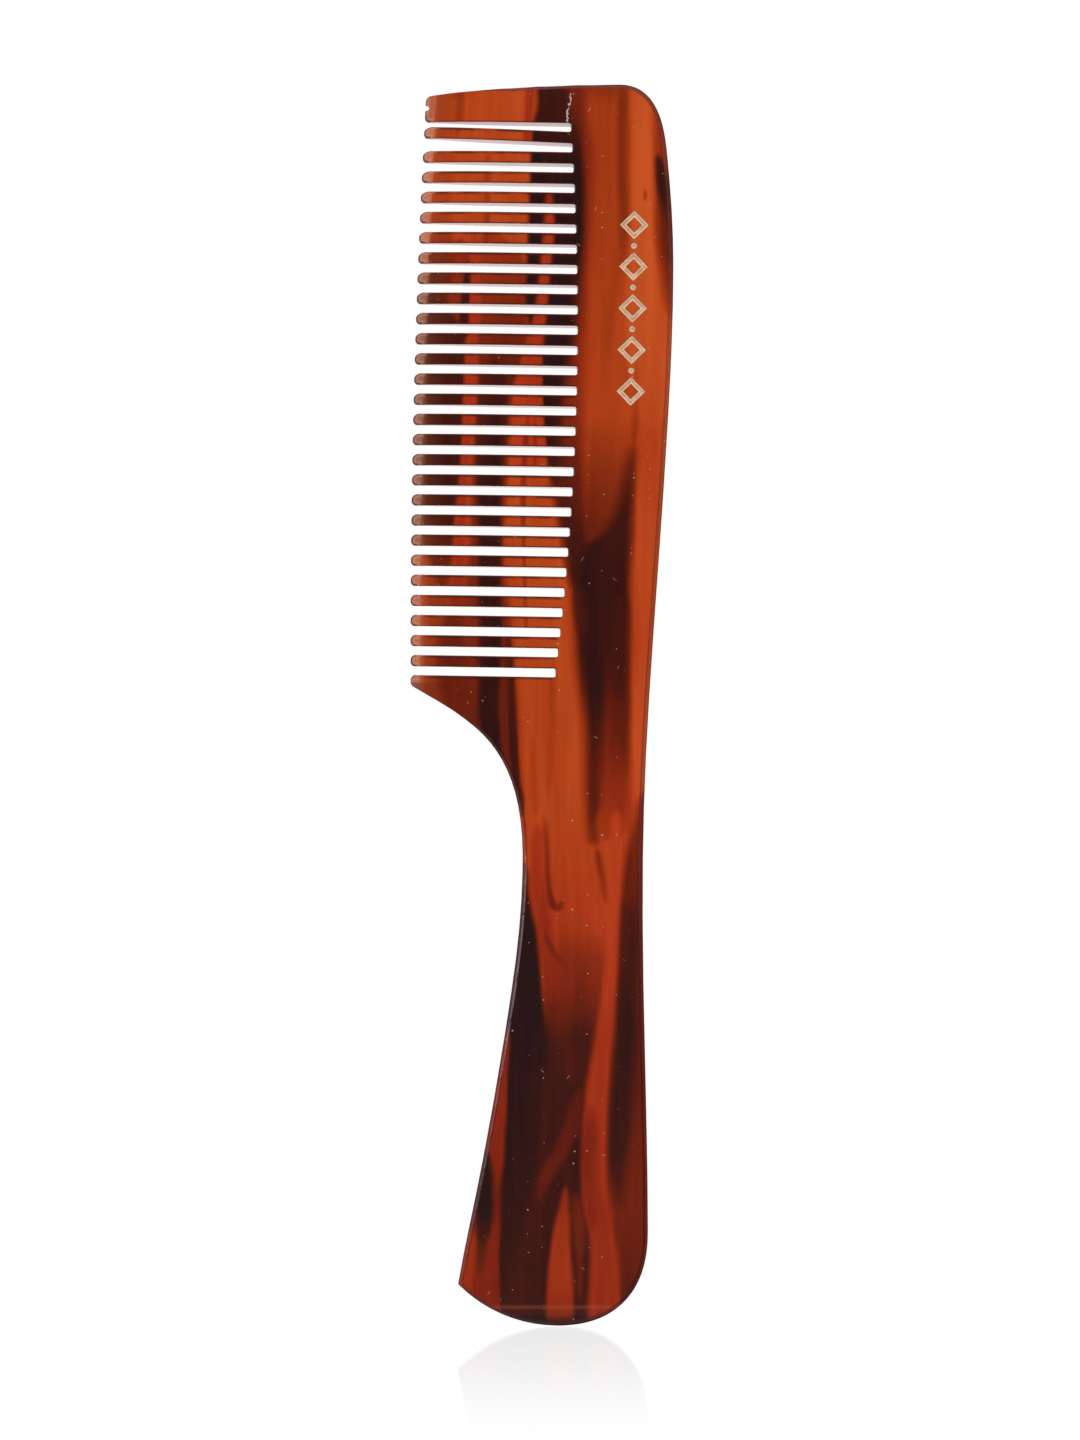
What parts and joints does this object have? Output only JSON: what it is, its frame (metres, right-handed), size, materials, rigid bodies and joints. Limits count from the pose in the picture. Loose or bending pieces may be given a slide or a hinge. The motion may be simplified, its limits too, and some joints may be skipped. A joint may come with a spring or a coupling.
{
  "type": "hair comb",
  "caption": "Flat handled dressing comb with a bowed row of saw-cut teeth, a curved spine, a flared handle and a small foil ornament on the front.",
  "frame": {"origin": "under the end of the handle, at mid width of the whole comb and mid thickness of the sheet", "axes": "+Z along the comb from the handle's end to the top of the head, teeth towards -X, spine towards +X, front face with the ornament towards -Y"},
  "size_m": [0.0424, 0.0042, 0.2],
  "materials": {
    "tortoiseshell_acetate": "polished, streaked amber and dark brown",
    "foil": "hot-stamped pale gold foil"
  },
  "bodies": {
    "root": {"comb_body": "tortoiseshell_acetate", "foil_mark": "foil"}
  },
  "joints": []
}
